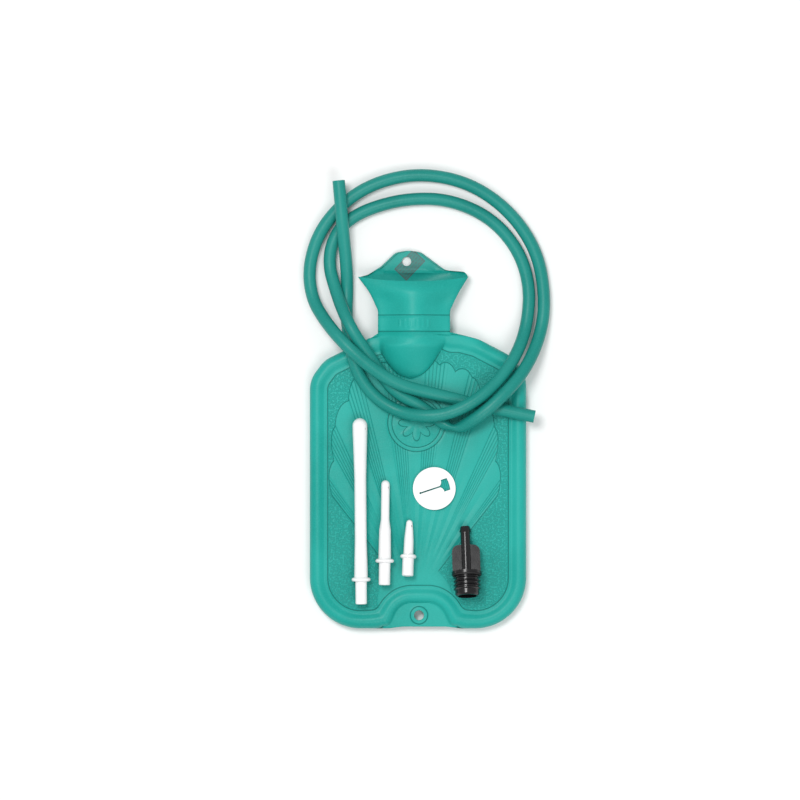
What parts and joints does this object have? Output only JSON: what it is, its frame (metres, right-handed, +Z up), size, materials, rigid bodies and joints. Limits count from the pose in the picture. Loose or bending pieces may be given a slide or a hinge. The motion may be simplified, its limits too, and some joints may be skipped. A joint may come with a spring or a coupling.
{
  "type": "rubber water bag kit",
  "caption": "Moulded rubber water bag with a funnel mouth and screw stopper, its screw hose adapter, loose rubber hose, slide clamp and push-in nozzles.",
  "frame": {"origin": "centre of the bag's footprint, on the surface that the bag lies on", "axes": "+Y along the bag towards its neck, +Z up out of the front panel, +X to the right seen from above with the neck at the top"},
  "size_m": [0.2275, 0.4232, 0.0442],
  "materials": {
    "bag_rubber": "satin moulded rubber",
    "hose_rubber": "satin extruded rubber",
    "white_plastic": "smooth",
    "black_plastic": "glossy",
    "bushing_brass": "turned",
    "washer_rubber": "matte"
  },
  "bodies": {
    "bag": {"bag_front_panel": "bag_rubber", "bag_back_panel": "bag_rubber", "neck_bushing": "bushing_brass"},
    "stopper_lift": {"stopper_washer": "washer_rubber"},
    "stopper": {"screw_stopper": "black_plastic"},
    "adapter": {"hose_adapter": "black_plastic", "adapter_washer": "washer_rubber"},
    "hose": {"hose": "hose_rubber"},
    "long_nozzle": {"long_nozzle": "white_plastic"},
    "medium_nozzle": {"medium_nozzle": "white_plastic"},
    "short_nozzle": {"short_nozzle": "white_plastic"},
    "clamp": {"pinch_clamp": "white_plastic"}
  },
  "joints": [
    {"name": "stopper_travel", "type": "slide", "parent": "bag", "child": "stopper_lift", "axis": [0, 1, 0], "range_m": [0, 0.0105]},
    {"name": "stopper_spin", "type": "hinge", "parent": "stopper_lift", "child": "stopper", "pos_m": [-0.0037, 0.1175, 0.0178], "axis": [0, 1, 0], "range_deg": [0, 1080]},
    {"name": "adapter_lift", "type": "slide", "parent": "bag", "child": "adapter", "axis": [0, 0, 1], "range_m": [0, 0.08]},
    {"name": "hose_lift", "type": "slide", "parent": "bag", "child": "hose", "axis": [0, 0, 1], "range_m": [0, 0.08]},
    {"name": "long_nozzle_lift", "type": "slide", "parent": "bag", "child": "long_nozzle", "axis": [0, 0, 1], "range_m": [0, 0.08]},
    {"name": "medium_nozzle_lift", "type": "slide", "parent": "bag", "child": "medium_nozzle", "axis": [0, 0, 1], "range_m": [0, 0.08]},
    {"name": "short_nozzle_lift", "type": "slide", "parent": "bag", "child": "short_nozzle", "axis": [0, 0, 1], "range_m": [0, 0.08]},
    {"name": "clamp_lift", "type": "slide", "parent": "bag", "child": "clamp", "axis": [0, 0, 1], "range_m": [0, 0.08]}
  ],
  "couplings": [
    {"joint": "stopper_travel", "follows": "stopper_spin", "m_per_rad": 0.00055704}
  ]
}
